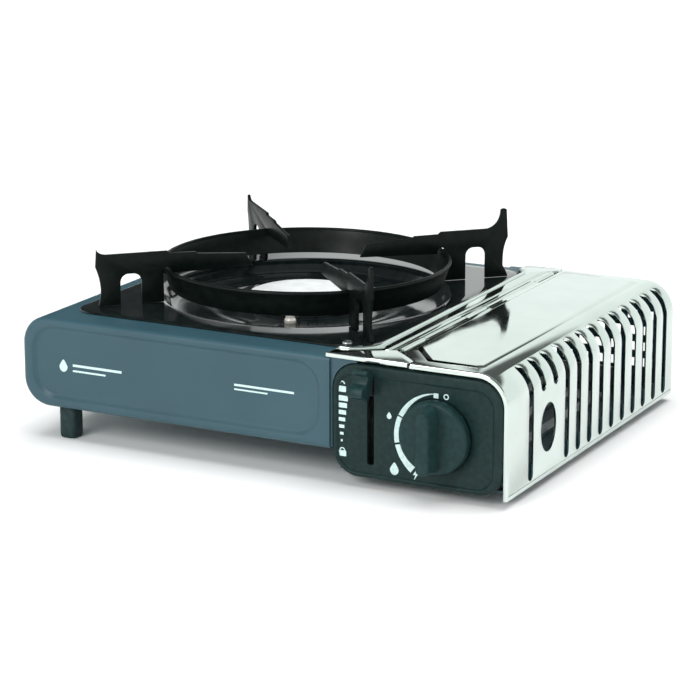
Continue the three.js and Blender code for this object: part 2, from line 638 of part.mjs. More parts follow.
function armOutline(tall) {
  const shape = new THREE.Shape();
  const win = { a: 110.8, b: 124.8, top: tall ? 103 : 101.6 };
  const arch = 5.5;
  const rest = 115;
  shape.moveTo(37, 101.5);
  shape.lineTo(60, 101);
  shape.lineTo(96.5, 100);
  shape.lineTo(96, supportFoot);
  shape.lineTo(win.a, supportFoot);
  shape.lineTo(win.a, win.top - arch);
  shape.absarc(win.a + arch, win.top - arch, arch, Math.PI, Math.PI / 2, true);
  shape.absarc(win.b - arch, win.top - arch, arch, Math.PI / 2, 0, true);
  shape.lineTo(win.b, supportFoot);
  if (tall) {
    shape.lineTo(141, supportFoot);
    shape.quadraticCurveTo(139.4, 86.5, 137.4, 89);
    shape.quadraticCurveTo(136.8, 102, 140.8, 108.6);
    shape.lineTo(139.8, 127.4);
    shape.quadraticCurveTo(138, 128.8, 135.6, 127.4);
    shape.quadraticCurveTo(135.4, 117.5, 126.5, rest);
  } else {
    shape.lineTo(139.4, supportFoot);
    shape.quadraticCurveTo(137.8, 86, 137.6, 92);
    shape.quadraticCurveTo(138, 100, 141, 107);
    shape.lineTo(140.2, 118.6);
    shape.quadraticCurveTo(138.6, 115.4, 134, rest);
  }
  shape.lineTo(93.5, rest);
  shape.lineTo(91.5, rest - 1.6);
  shape.lineTo(75, rest - 1.8);
  shape.lineTo(73, rest - 3);
  shape.lineTo(41, 110);
  return shape;
}

function makeArm(tall, angle) {
  const thick = 2.2;
  const arm = plate('Y', armOutline(tall), -thick / 2, thick / 2);
  const clear = solid(new THREE.LatheGeometry([
    [88, 80], [92.6, 86], [97, 102], [95.6, 104.2], [92.6, 104.2], [91.6, 102.6], [85, 86], [88, 80],
  ].map(([r, h]) => new THREE.Vector2(r, h)), 64).rotateX(Math.PI / 2));
  const geometry = toGeometry(cut(arm, clear));
  geometry.rotateZ(THREE.MathUtils.degToRad(angle));
  geometry.translate(burner.x, burner.y, 0);
  return geometry;
}
piece('support_arm_front_right', makeArm(true, -45), dark);
piece('support_arm_rear_right', makeArm(true, 45), dark);
piece('support_arm_rear_left', makeArm(false, 135), dark);
piece('support_arm_front_left', makeArm(false, -135), dark);

export default stove;
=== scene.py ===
"""Looks for a single-burner cartridge stove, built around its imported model. Lengths in the tables are
millimetres from the middle of the casing, +Y away from the user, and become metres when a mesh is made."""

import json
import math

import bmesh
import bpy
from bpy.props import FloatProperty, FloatVectorProperty, IntProperty, PointerProperty
from mathutils import Matrix, Vector


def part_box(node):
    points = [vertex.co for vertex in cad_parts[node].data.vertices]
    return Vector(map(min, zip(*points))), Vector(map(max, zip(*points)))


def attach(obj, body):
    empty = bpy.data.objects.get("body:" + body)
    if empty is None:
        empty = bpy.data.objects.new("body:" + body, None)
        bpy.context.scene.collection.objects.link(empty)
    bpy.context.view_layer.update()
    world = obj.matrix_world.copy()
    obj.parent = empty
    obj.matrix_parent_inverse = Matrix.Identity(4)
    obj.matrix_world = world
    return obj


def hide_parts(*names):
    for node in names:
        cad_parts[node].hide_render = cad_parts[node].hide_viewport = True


bl_info = {
    "name": "Cartridge Stove",
    "version": (1, 0, 0),
    "blender": (4, 5, 0),
    "location": "3D Viewport > Sidebar > Stove",
    "description": "Builds the visible pieces of a table-top gas stove around its frame",
    "category": "Add Mesh",
}

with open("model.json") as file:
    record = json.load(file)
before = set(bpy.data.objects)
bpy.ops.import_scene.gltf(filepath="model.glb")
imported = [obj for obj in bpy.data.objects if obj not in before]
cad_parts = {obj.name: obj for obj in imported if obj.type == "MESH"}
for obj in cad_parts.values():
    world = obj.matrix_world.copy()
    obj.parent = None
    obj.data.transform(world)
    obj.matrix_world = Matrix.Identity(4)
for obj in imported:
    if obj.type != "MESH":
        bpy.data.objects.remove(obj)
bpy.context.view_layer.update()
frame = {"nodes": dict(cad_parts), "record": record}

MM = 0.001
casing_low, casing_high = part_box("casing")
SHIFT = (casing_low.y + casing_high.y) / 2 / MM  # the casing's middle, measured from the frame's origin


def span(node):
    """A node's box as x0, x1, y0, y1, z0, z1, in millimetres from the casing's middle."""
    low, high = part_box(node)
    return (low.x / MM, high.x / MM, low.y / MM - SHIFT, high.y / MM - SHIFT, low.z / MM, high.z / MM)


LEFT, CASING_RIGHT, FRONT, BACK, CASING_FLOOR, CASING_TOP = span("casing")
CASING_RIGHT = 52.0  # the front panel's edge; the casing's top reaches a little further under the strip
_, RIGHT, _, _, LID_BOTTOM, _ = span("cartridge_lid")
LID_TOP = 81.5
LID_LEFT = 90.0
RING = span("support_ring")
BURNER_X = (RING[0] + RING[1]) / 2
BURNER_Y = (RING[2] + RING[3]) / 2
TRAY = span("drip_tray")
TRAY_CORNER = 15
FASCIA = span("fascia")
FASCIA_CORNER = 17
KNOB = span("control_knob")
KNOB_X = (KNOB[0] + KNOB[1]) / 2
KNOB_Z = (KNOB[4] + KNOB[5]) / 2
HINGE_PIN = span("hinge_pin")
HINGE_X = (HINGE_PIN[0] + HINGE_PIN[1]) / 2
HINGE_Z = (HINGE_PIN[4] + HINGE_PIN[5]) / 2


# ---------------------------------------------------------------- settings
def length(name, description, size):
    return FloatProperty(name=name, description=description, default=size * MM, unit="LENGTH")


def tone(name, description, colour):
    return FloatVectorProperty(name=name, description=description, default=colour, subtype="COLOR")


class StoveSizes(bpy.types.PropertyGroup):
    """Sizes of the pressed and moulded detail."""
    casing_edge: length("Casing edge", "Rounding round the front of the casing", 3.2)
    recess_depth: length("Recess depth", "How far the front panel is pressed in", 2.4)
    slot_width: length("Slot width", "Width of a cooling slot", 7.4)
    slot_pitch: length("Slot pitch", "Distance from one slot to the next", 18.2)
    sheet: length("Sheet", "Thickness of the pressed steel", 1.2)
    flame_ports: IntProperty(name="Flame ports", description="Ports round the burner head", default=36)
    print_height: length("Print height", "Thickness of the printed marks", 0.12)


class StoveColours(bpy.types.PropertyGroup):
    """Base colours of the finishes."""
    paint: tone("Paint", "Casing paint", (0.029, 0.076, 0.098))
    enamel: tone("Enamel", "Drip tray", (0.006, 0.009, 0.009))
    support: tone("Support", "Pan support", (0.0035, 0.0065, 0.0055))
    plastic: tone("Plastic", "Control panel", (0.010, 0.026, 0.025))
    handle: tone("Handle", "Knob and lever", (0.012, 0.033, 0.034))
    marks: tone("Marks", "Printed marks", (0.62, 0.80, 0.78))


# ---------------------------------------------------------------- materials
def shader(name, base, metallic, roughness, **sockets):
    """A new material with one Principled shader; an underscore in a socket's keyword stands for a space."""
    material = bpy.data.materials.new(name)
    material.use_nodes = True
    tree = material.node_tree
    bsdf = tree.nodes["Principled BSDF"]
    bsdf.inputs["Base Color"].default_value = (*base, 1)
    bsdf.inputs["Metallic"].default_value = metallic
    bsdf.inputs["Roughness"].default_value = roughness
    for socket, value in sockets.items():
        bsdf.inputs[socket.replace("_", " ")].default_value = value
    return material, tree, bsdf


def wire(tree, *wires):
    """Links nodes: each wire is a node and its output, then a node and its input."""
    for start, output, end, entry in wires:
        tree.links.new(start.outputs[output], end.inputs[entry])


def noise(tree, scale, detail=3.0, distortion=0.0, stretch=None):
    """Noise on the object's own coordinates; stretch scales them per axis, as for a brushed grain."""
    source = tree.nodes.new("ShaderNodeTexCoord")
    output = "Object"
    texture = tree.nodes.new("ShaderNodeTexNoise")
    texture.inputs["Scale"].default_value = scale
    texture.inputs["Detail"].default_value = detail
    texture.inputs["Distortion"].default_value = distortion
    if stretch:
        mapping = tree.nodes.new("ShaderNodeMapping")
        mapping.inputs["Scale"].default_value = stretch
        wire(tree, (source, output, mapping, "Vector"))
        source = mapping
        output = "Vector"
    wire(tree, (source, output, texture, "Vector"))
    return texture.outputs["Fac"]


def map_range(tree, value, start, end, low, high, kind="LINEAR"):
    """Runs from low to high while value runs from start to end."""
    node = tree.nodes.new("ShaderNodeMapRange")
    node.interpolation_type = kind
    for name, level in (("From Min", start), ("From Max", end), ("To Min", low), ("To Max", high)):
        node.inputs[name].default_value = level
    tree.links.new(value, node.inputs["Value"])
    return node.outputs["Result"]


def vary_colour(tree, bsdf, fac, low, high, start=0.35, end=0.65):
    """The base colour runs from low to high with a noise."""
    ramp = tree.nodes.new("ShaderNodeValToRGB")
    ramp.color_ramp.elements[0].position = start
    ramp.color_ramp.elements[0].color = (*low, 1)
    ramp.color_ramp.elements[1].position = end
    ramp.color_ramp.elements[1].color = (*high, 1)
    tree.links.new(fac, ramp.inputs["Fac"])
    tree.links.new(ramp.outputs["Color"], bsdf.inputs["Base Color"])


def vary_roughness(tree, bsdf, fac, low, high):
    tree.links.new(map_range(tree, fac, 0.3, 0.7, low, high), bsdf.inputs["Roughness"])


def add_bump(tree, bsdf, *layers):
    """Bumps, one on another: each layer is (height output, strength, distance in millimetres)."""
    previous = None
    for height, strength, distance in layers:
        bump = tree.nodes.new("ShaderNodeBump")
        bump.inputs["Strength"].default_value = strength
        bump.inputs["Distance"].default_value = distance * MM
        tree.links.new(height, bump.inputs["Height"])
        if previous:
            tree.links.new(previous.outputs["Normal"], bump.inputs["Normal"])
        previous = bump
    tree.links.new(previous.outputs["Normal"], bsdf.inputs["Normal"])


def scaled(colour, factor):
    return tuple(min(1.0, c * factor) for c in colour)


def finish_of(name, tone, metallic, rough, colour, roughness, bumps, **sockets):
    """A finish varied by noises. colour is a noise and the factors the tone runs between, roughness a noise
    and its limits, and each of bumps a noise, a strength and a distance in millimetres."""
    material, tree, bsdf = shader(name, tone, metallic, rough, **sockets)
    grain, low, high, *ends = colour
    vary_colour(tree, bsdf, noise(tree, *grain), scaled(tone, low), scaled(tone, high), *ends)
    grain, low, high = roughness
    vary_roughness(tree, bsdf, noise(tree, *grain), low, high)
    add_bump(tree, bsdf, *((noise(tree, *grain), strength, distance) for grain, strength, distance in bumps))
    return material


def plastic(name, tone, rough):
    """Moulded plastic with a fine spark-eroded grain."""
    return finish_of(name, tone, 0.0, rough, ((300, 4), 0.85, 1.18), ((90, 5), rough - 0.06, rough + 0.08),
                     [((1600, 2), 0.35, 0.03), ((40, 2), 0.2, 0.06)], Specular_IOR_Level=0.16)


finishes = {}


def make_finishes(colours):
    # satin stove paint: faint orange peel, slow shade changes and a thin lacquer
    finishes["blue_paint"] = finish_of(
        "satin paint", colours.paint, 0.0, 0.42, ((22, 4), 0.93, 1.07), ((60, 5), 0.38, 0.48),
        [((900, 2), 0.25, 0.02), ((14, 2), 0.3, 0.12)],
        Specular_IOR_Level=0.35, Coat_Weight=0.12, Coat_Roughness=0.3)
    # vitreous enamel: black glass on steel, a little wavy, with fine pits
    finishes["black_enamel"] = finish_of(
        "black enamel", colours.enamel, 0.0, 0.09, ((160, 6), 0.7, 1.5), ((45, 6), 0.06, 0.16),
        [((420, 3), 0.22, 0.03), ((28, 2), 0.4, 0.12)], IOR=1.5, Coat_Weight=0.25, Coat_Roughness=0.04)
    # matt stove enamel on the pan support: dense fine pits and a slow sheen
    finishes["support_black"] = finish_of(
        "matt enamel", colours.support, 0.0, 0.36, ((180, 6), 0.75, 1.4), ((70, 5), 0.30, 0.44),
        [((620, 3), 0.3, 0.03), ((34, 2), 0.3, 0.08)], Specular_IOR_Level=0.14)
    # bare bright alloy of the burner cap: satin, with a fine turned grain
    finishes["bright_alloy"] = finish_of(
        "bright alloy", (0.88, 0.92, 0.91), 0.2, 0.45, ((110, 6), 0.93, 1.05), ((160, 5), 0.38, 0.54),
        [((800, 3), 0.25, 0.02)])
    # bright plated sheet: slight ripples from the press, and smudges
    finishes["chrome_sheet"] = finish_of(
        "bright plate", (0.63, 0.70, 0.665), 1.0, 0.07, ((30, 5), 0.96, 1.03), ((55, 7, 0.4), 0.045, 0.13),
        [((17, 2), 0.5, 0.35), ((700, 2), 0.08, 0.01)])
    finishes["black_plastic"] = plastic("panel plastic", colours.plastic, 0.42)
    finishes["handle"] = plastic("handle plastic", colours.handle, 0.4)
    # zinc-plated steel: bluish spangle and a faint rolling grain
    finishes["zinc_steel"] = finish_of(
        "zinc plate", (0.50, 0.53, 0.54), 1.0, 0.34, ((120, 6, 0.6), 0.82, 1.12), ((80, 5), 0.26, 0.46),
        [((260, 3, 0.0, (1, 0.06, 1)), 0.25, 0.03)])
    # cast and turned aluminium alloy: fine sand texture and heat-dulled patches
    finishes["cast_alloy"] = finish_of(
        "cast alloy", (0.74, 0.76, 0.75), 1.0, 0.36, ((90, 6), 0.86, 1.1), ((150, 5), 0.28, 0.46),
        [((1100, 4), 0.4, 0.04)])
    # turned brass with light tarnish
    finishes["brass_fitting"] = finish_of(
        "turned brass", (0.62, 0.44, 0.17), 1.0, 0.28, ((200, 5), 0.75, 1.1), ((300, 4), 0.2, 0.38),
        [((900, 2, 0.0, (1, 6, 1)), 0.2, 0.02)])
    # moulded rubber with dust in its grain
    finishes["black_rubber"] = finish_of(
        "moulded rubber", (0.012, 0.027, 0.029), 0.0, 0.6, ((260, 6), 0.8, 1.35), ((200, 4), 0.5, 0.72),
        [((1300, 3), 0.5, 0.05)], Specular_IOR_Level=0.25)
    # glazed white ceramic with faint specks
    finishes["white_ceramic"] = finish_of(
        "glazed ceramic", (0.80, 0.77, 0.70), 0.0, 0.2, ((900, 6), 0.88, 1.05, 0.3, 0.5),
        ((120, 3), 0.16, 0.3), [((500, 2), 0.15, 0.02)], Coat_Weight=0.6, Coat_Roughness=0.08)
    # screen-printed ink, slightly uneven
    finishes["ink"] = finish_of(
        "printed ink", colours.marks, 0.0, 0.5, ((700, 4), 0.86, 1.04), ((300, 3), 0.42, 0.6),
        [((1500, 2), 0.25, 0.01)])


# ---------------------------------------------------------------- mesh tools
def link(obj):
    bpy.context.scene.collection.objects.link(obj)
    return obj


def new_mesh(name, points, faces):
    """An object from points in millimetres, with its faces turned outwards."""
    mesh = bpy.data.meshes.new(name)
    mesh.from_pydata([(x * MM, (y + SHIFT) * MM, z * MM) for x, y, z in points], [], faces)
    shape = bmesh.new()
    shape.from_mesh(mesh)
    bmesh.ops.remove_doubles(shape, verts=shape.verts, dist=0.002 * MM)
    bmesh.ops.recalc_face_normals(shape, faces=shape.faces)
    shape.to_mesh(mesh)
    shape.free()
    return link(bpy.data.objects.new(name, mesh))


def loft(name, loops, closed=False):
    """Skins a row of loops of equal length, with flat caps, or joined end to start when closed."""
    count = len(loops[0])
    points = [p for loop in loops for p in loop]
    faces = []
    rows = len(loops) if closed else len(loops) - 1
    for r in range(rows):
        a = r * count
        b = (r + 1) % len(loops) * count
        faces += [(a + i, a + (i + 1) % count, b + (i + 1) % count, b + i) for i in range(count)]
    if not closed:
        faces.append(tuple(range(count)))
        faces.append(tuple(range((len(loops) - 1) * count, len(loops) * count)))
    return new_mesh(name, points, faces)


def round_rect(x0, x1, y0, y1, radii, steps=8):
    """Points round a rectangle; radii are at (x0, y0), (x1, y0), (x1, y1) and (x0, y1)."""
    a, b, c, d = radii if isinstance(radii, (list, tuple)) else (radii,) * 4
    corners = [(x0 + a, y0 + a, a, 180), (x1 - b, y0 + b, b, 270)]
    corners += [(x1 - c, y1 - c, c, 0), (x0 + d, y1 - d, d, 90)]
    points = []
    for cx, cy, radius, start in corners:
        points += arc(cx, cy, radius, start, start + 90, steps)
    return points


def arc(cx, cy, radius, start, end, steps):
    """Points round a circle between two angles in degrees."""
    points = []
    for k in range(steps + 1):
        angle = math.radians(start + (end - start) * k / steps)
        points.append((cx + radius * math.cos(angle), cy + radius * math.sin(angle)))
    return points


def on_plane(plane, points, level):
    """Flat points set into space: XY at a height, XZ at a depth or YZ at an x."""
    if plane == "XY":
        return [(a, b, level) for a, b in points]
    if plane == "XZ":
        return [(a, level, b) for a, b in points]
    return [(level, a, b) for a, b in points]


def prism(name, plane, points, low, high):
    return loft(name, [on_plane(plane, points, low), on_plane(plane, points, high)])


def plate(name, plane, sides, corner, low, high, steps=1):
    """A plate with rounded corners; sides is its x0, x1, y0, y1 in the plane."""
    return prism(name, plane, round_rect(*sides, corner, steps), low, high)


def lathe(name, axis, profile, centre, steps=96):
    """Turns a closed (radius, height) outline about an axis through centre."""
    loops = []
    for k in range(steps):
        c = math.cos(2 * math.pi * k / steps)
        s = math.sin(2 * math.pi * k / steps)
        if axis == "Z":
            loops.append([(centre[0] + r * c, centre[1] + r * s, h) for r, h in profile])
        else:
            loops.append([(centre[0] + r * c, h, centre[1] + r * s) for r, h in profile])
    return loft(name, loops, closed=True)


def sweep(name, path, across, up, count=12):
    """An oval bead along a path; across and up are its half width and half height, in its own frame."""
    loops = []
    for i, p in enumerate(path):
        before = Vector(path[max(i - 1, 0)])
        after = Vector(path[min(i + 1, len(path) - 1)])
        way = (after - before).normalized()
        lift = Vector((0, 0, 1)) if abs(way.z) < 0.9 else Vector((0, -1, 0))
        side = way.cross(lift).normalized()
        rise = side.cross(way)
        ring = []
        for k in range(count):
            angle = 2 * math.pi * k / count
            ring.append(tuple(Vector(p) + side * across * math.cos(angle) + rise * up * math.sin(angle)))
        loops.append(ring)
    return loft(name, loops)


def settle(obj):
    """Turns an object's modifiers into a plain mesh."""
    made = bpy.data.meshes.new_from_object(obj.evaluated_get(bpy.context.evaluated_depsgraph_get()))
    obj.modifiers.clear()
    obj.data = made
    return obj


def combine(obj, others, operation="DIFFERENCE"):
    """Cuts others out of obj, or joins them to it, and removes them."""
    for other in others:
        modifier = obj.modifiers.new("cut", "BOOLEAN")
        modifier.operation = operation
        modifier.solver = "EXACT"
        modifier.object = other
    settle(obj)
    for other in others:
        bpy.data.objects.remove(other)
    return obj


def soften(obj, width, segments=2, angle=35):
    """Rounds the edges that turn by more than an angle."""
    modifier = obj.modifiers.new("edge", "BEVEL")
    modifier.width = width * MM
    modifier.segments = segments
    modifier.limit_method = "ANGLE"
    modifier.angle_limit = math.radians(angle)
    return settle(obj)


def present(obj, finish, body, nodes=(), angle=32):
    """Shades a finished piece, gives it its finish, and sets it on its body."""
    mesh = obj.data
    for polygon in mesh.polygons:
        polygon.use_smooth = True
    mesh.set_sharp_from_angle(angle=math.radians(angle))
    mesh.materials.clear()
    mesh.materials.append(finishes[finish])
    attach(obj, body)
    if nodes:
        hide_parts(*nodes)
    return obj


def join_meshes(name, objects):
    """Several separate solids as one piece."""
    shape = bmesh.new()
    for obj in objects:
        shape.from_mesh(obj.data)
        bpy.data.objects.remove(obj)
    mesh = bpy.data.meshes.new(name)
    shape.to_mesh(mesh)
    shape.free()
    return link(bpy.data.objects.new(name, mesh))


# ---------------------------------------------------------------- repeated shapes
def repeat_tree():
    """Geometry nodes: copies of an object along a line, each turned and grown more than the last."""
    tree = bpy.data.node_groups.new("repeat", "GeometryNodeTree")
    interface = tree.interface
    sockets = {}
    kinds = {"Shape": "Object", "Count": "Int", "Step": "Vector", "Turn": "Float", "First Size": "Vector",
             "Size Step": "Vector", "Finish": "Material"}
    for name, kind in kinds.items():
        sockets[name] = interface.new_socket(name, in_out="INPUT", socket_type=f"NodeSocket{kind}").identifier
    interface.new_socket("Geometry", in_out="OUTPUT", socket_type="NodeSocketGeometry")
    nodes = tree.nodes
    given = nodes.new("NodeGroupInput")
    line = nodes.new("GeometryNodeMeshLine")
    source = nodes.new("GeometryNodeObjectInfo")
    index = nodes.new("GeometryNodeInputIndex")
    turn = nodes.new("ShaderNodeMath")
    turn.operation = "MULTIPLY"
    rotation = nodes.new("ShaderNodeCombineXYZ")
    growth = nodes.new("ShaderNodeVectorMath")
    growth.operation = "MULTIPLY_ADD"
    copies = nodes.new("GeometryNodeInstanceOnPoints")
    real = nodes.new("GeometryNodeRealizeInstances")
    finish = nodes.new("GeometryNodeSetMaterial")
    result = nodes.new("NodeGroupOutput")
    wire(tree, (given, "Count", line, "Count"), (given, "Step", line, "Offset"),
         (given, "Shape", source, "Object"), (index, "Index", turn, 0), (given, "Turn", turn, 1),
         (turn, "Value", rotation, "Z"), (given, "Size Step", growth, 0), (index, "Index", growth, 1),
         (given, "First Size", growth, 2), (line, "Mesh", copies, "Points"),
         (source, "Geometry", copies, "Instance"), (rotation, "Vector", copies, "Rotation"),
         (growth, "Vector", copies, "Scale"), (copies, "Instances", real, "Geometry"),
         (real, "Geometry", finish, "Geometry"), (given, "Finish", finish, "Material"),
         (finish, "Geometry", result, "Geometry"))
    return tree, sockets


repeats = {}


def repeat(name, shape, count, step=(0, 0, 0), turn=0.0, size=(1, 1, 1), size_step=(0, 0, 0), finish="ink",
           at=(0, 0, 0)):
    """Copies of shape, which is made about the origin, set out from the place at, as one plain mesh."""
    if not repeats:
        repeats["tree"], repeats["sockets"] = repeat_tree()
    holder = link(bpy.data.objects.new(name, bpy.data.meshes.new(name)))
    modifier = holder.modifiers.new("repeat", "NODES")
    modifier.node_group = repeats["tree"]
    values = {"Shape": shape, "Count": count, "Step": [c * MM for c in step], "Turn": math.radians(turn),
              "First Size": size, "Size Step": size_step, "Finish": finishes[finish]}
    for key, value in values.items():
        modifier[repeats["sockets"][key]] = value
    settle(holder)
    holder.data.transform(Matrix.Translation([at[0] * MM, (at[1] + SHIFT) * MM, at[2] * MM]))
    bpy.data.objects.remove(shape)
    return holder


def centred(obj):
    """A shape made with its y measured from the casing's middle, moved so that repeat can place it."""
    obj.data.transform(Matrix.Translation((0, -SHIFT * MM, 0)))
    return obj


# ---------------------------------------------------------------- casing
CASING_CORNER = 18
TONGUE_RIGHT = 63.4  # how far the casing's top reaches under the strip
DISH_MOUTH = 98


def casing_loop(inset, y):
    radii = (CASING_CORNER - inset, 0.3, 0.3, CASING_CORNER - inset)
    outline = round_rect(LEFT + inset, CASING_RIGHT, CASING_FLOOR + inset, CASING_TOP - inset, radii, 12)
    return on_plane("XZ", outline, y)


def edge_loops(make, radius, y_edge, inward, steps=5):
    """Loops that round an end, from its flat face out to the sides; inward is +1 in front, -1 behind."""
    loops = []
    for k in range(steps + 1):
        angle = math.radians(90 * k / steps)
        loops.append(make(radius * (1 - math.sin(angle)), y_edge + inward * radius * (1 - math.cos(angle))))
    return loops


class STOVE_OT_casing(bpy.types.Operator):
    """Pressed and painted casing with its sunk front panel"""
    bl_idname = "stove.casing"
    bl_label = "Casing"

    def execute(self, context):
        sizes = context.scene.stove_sizes
        edge = sizes.casing_edge / MM
        depth = sizes.recess_depth / MM
        x0, x1, z0, z1 = -163, 45.5, 27, 75.5  # the sunk panel
        recess = []
        for inset, y in ((0, FRONT), (0.5, FRONT + 0.3), (2.2, FRONT + depth - 0.3), (3.0, FRONT + depth)):
            outline = round_rect(x0 + inset, x1 - inset, z0 + inset, z1 - inset, 17 - inset, 12)
            recess.append(on_plane("XZ", outline, y))
        loops = recess[::-1] + edge_loops(casing_loop, edge, FRONT, 1)
        loops += edge_loops(casing_loop, 7, BACK, -1, 7)[::-1]
        body = loft("casing_shell", loops)
        sheet = sizes.sheet / MM

        def inner_radii(inset):
            return (CASING_CORNER - sheet - inset, 0.3, 0.3, CASING_CORNER - sheet - inset)

        def inner_loop(inset, y):
            outline = round_rect(LEFT + sheet + inset, CASING_RIGHT + 20, CASING_FLOOR + sheet + inset,
                                 CASING_TOP - sheet - inset, inner_radii(inset), 12)
            return on_plane("XZ", outline, y)

        inner = loft("inner", edge_loops(inner_loop, 2, FRONT + depth + sheet, 1)
                     + edge_loops(inner_loop, 6, BACK - sheet, -1)[::-1])
        mouth = prism("mouth", "XY", arc(BURNER_X, BURNER_Y, DISH_MOUTH, 0, 357, 119), 70, 90)
        notch = plate("notch", "XZ", (49.2, 60, 78.9, 90), 0.1, FRONT - 1, FRONT + 1.5)
        tongue = plate("tongue", "XZ", (CASING_RIGHT - 1, TONGUE_RIGHT, CASING_TOP - sheet, CASING_TOP), 0.3,
                       FRONT + 1.8, BACK - 1.8, 2)
        combine(body, [tongue], "UNION")
        combine(body, [inner, mouth, notch])
        corner = plate("corner", "XZ", (CASING_RIGHT - 0.2, 70, 23, CASING_TOP - 0.6), 0.1, FRONT + 1.6,
                       FRONT + 2.8)
        sides = (FASCIA[0] - 0.3, FASCIA[1], FASCIA[4], FASCIA[5] + 0.3)
        around = plate("around", "XZ", sides, FASCIA_CORNER, FRONT, FRONT + 5, 10)
        combine(corner, [around])
        body = join_meshes("casing_shell", [body, corner])
        present(body, "blue_paint", "stove", ["casing"])
        return {"FINISHED"}


# ---------------------------------------------------------------- tray
def tray_ring(height, radius=None, outset=0.0, count=160):
    """One loop round the burner: a circle, or the tray's own outline grown by outset."""
    x0, x1, y0, y1 = TRAY[0] - outset, TRAY[1] + outset, TRAY[2] - outset, TRAY[3] + outset
    loop = []
    for k in range(count):
        angle = 2 * math.pi * k / count
        c = math.cos(angle)
        s = math.sin(angle)
        reach = radius
        if radius is None:
            reach = corner_reach(x0, x1, y0, y1, TRAY_CORNER + outset, c, s)
        loop.append((BURNER_X + reach * c, BURNER_Y + reach * s, height))
    return loop


def corner_reach(x0, x1, y0, y1, corner, c, s):
    """How far a ray from the burner's axis runs to a rounded rectangle."""
    low = 0.0
    high = 400.0
    for _ in range(40):
        middle = (low + high) / 2
        x = BURNER_X + middle * c
        y = BURNER_Y + middle * s
        dx = max(x0 + corner - x, x - (x1 - corner), 0)
        dy = max(y0 + corner - y, y - (y1 - corner), 0)
        inside = x0 < x < x1 and y0 < y < y1 and math.hypot(dx, dy) < corner + 1e-9
        low, high = (middle, high) if inside else (low, middle)
    return low


class STOVE_OT_tray(bpy.types.Operator):
    """Enamelled drip tray with a round dish, and the screws that hold it"""
    bl_idname = "stove.tray"
    bl_label = "Drip tray"

    def execute(self, context):
        top = TRAY[5]
        floor = 71.5
        upper = [tray_ring(floor + rise, radius) for rise, radius in (
            (3, 37.0), (3.4, 37.4), (3, 38.2), (0.8, 38.4), (0, 39.6), (0, 60), (0.6, 63), (0.6, 70), (0, 73),
            (0, 85), (0.5, 88), (3, 90.6))]
        upper += [tray_ring(top - drop, radius) for drop, radius in (
            (1.5, 93.4), (0.3, 95), (0, 97), (0, 99.5))]
        upper += [tray_ring(top - drop, None, outset) for drop, outset in (
            (0, -6), (0, -1), (0.2, -0.3), (0.7, 0))]
        lower = [[(x, y, z - 0.9) for x, y, z in loop] for loop in upper[::-1]]
        lower[0] = tray_ring(top - 1, None, -0.2)
        body = loft("tray_pressing", upper + lower, closed=True)
        x, _, y, _, _, _ = span("electrode_insulator")
        hole = lathe("hole", "Z", [(0.01, 60), (4.5, 60), (4.5, 78), (0.01, 78)], (x + 3.9, y + 3.9), 24)
        combine(body, [hole])
        present(body, "black_enamel", "stove", ["drip_tray"], 40)
        for n in (1, 2):
            node = f"tray_screw_{n}"
            sx0, sx1, sy0, sy1, sz0, _ = span(node)
            profile = [(0.01, 0), (3.2, 0), (3.2, 0.5), (2.9, 1.0), (2.0, 1.6), (1.0, 1.85), (0.01, 1.9)]
            head = lathe("head", "Z", profile, (0, 0), 32)
            groove = plate("groove", "XY", (-2.4, 2.4, -0.4, 0.4), 0.1, 1.1, 3)
            across = plate("across", "XY", (-0.4, 0.4, -2.4, 2.4), 0.1, 1.1, 3)
            combine(head, [groove, across])
            screw = repeat(f"tray_screw_head_{n}", centred(head), 1, finish="zinc_steel",
                           at=((sx0 + sx1) / 2, (sy0 + sy1) / 2, sz0))
            present(screw, "zinc_steel", "stove", [node])
        return {"FINISHED"}


# ---------------------------------------------------------------- strip and lid
STRIP_INNER = 68.5
STRIP_FRONT = -116.0
STRIP_LEFT = 49.5
STRIP_CORNER = 16
BEAD_INSET = 1.4
NOSE_X = 105.5  # the strip's nose, which the lid's front corner is cut away for
NOSE_Y = -110.0
BARREL_INNER = 1.4
BARREL_OUTER = 2.2


def hinge_parts(stretches, x0, x1, low):
    """Barrels round the pin, each with the leaf that joins it to its sheet between x0 and x1."""
    parts = []
    for y0, y1 in stretches:
        profile = [(BARREL_INNER, y0), (BARREL_OUTER, y0), (BARREL_OUTER, y1), (BARREL_INNER, y1)]
        parts.append(lathe("barrel", "Y", profile, (HINGE_X, HINGE_Z), 24))
        parts.append(plate("leaf", "XZ", (x0, x1, low, LID_TOP), 0.1, y0, y1))
    return parts


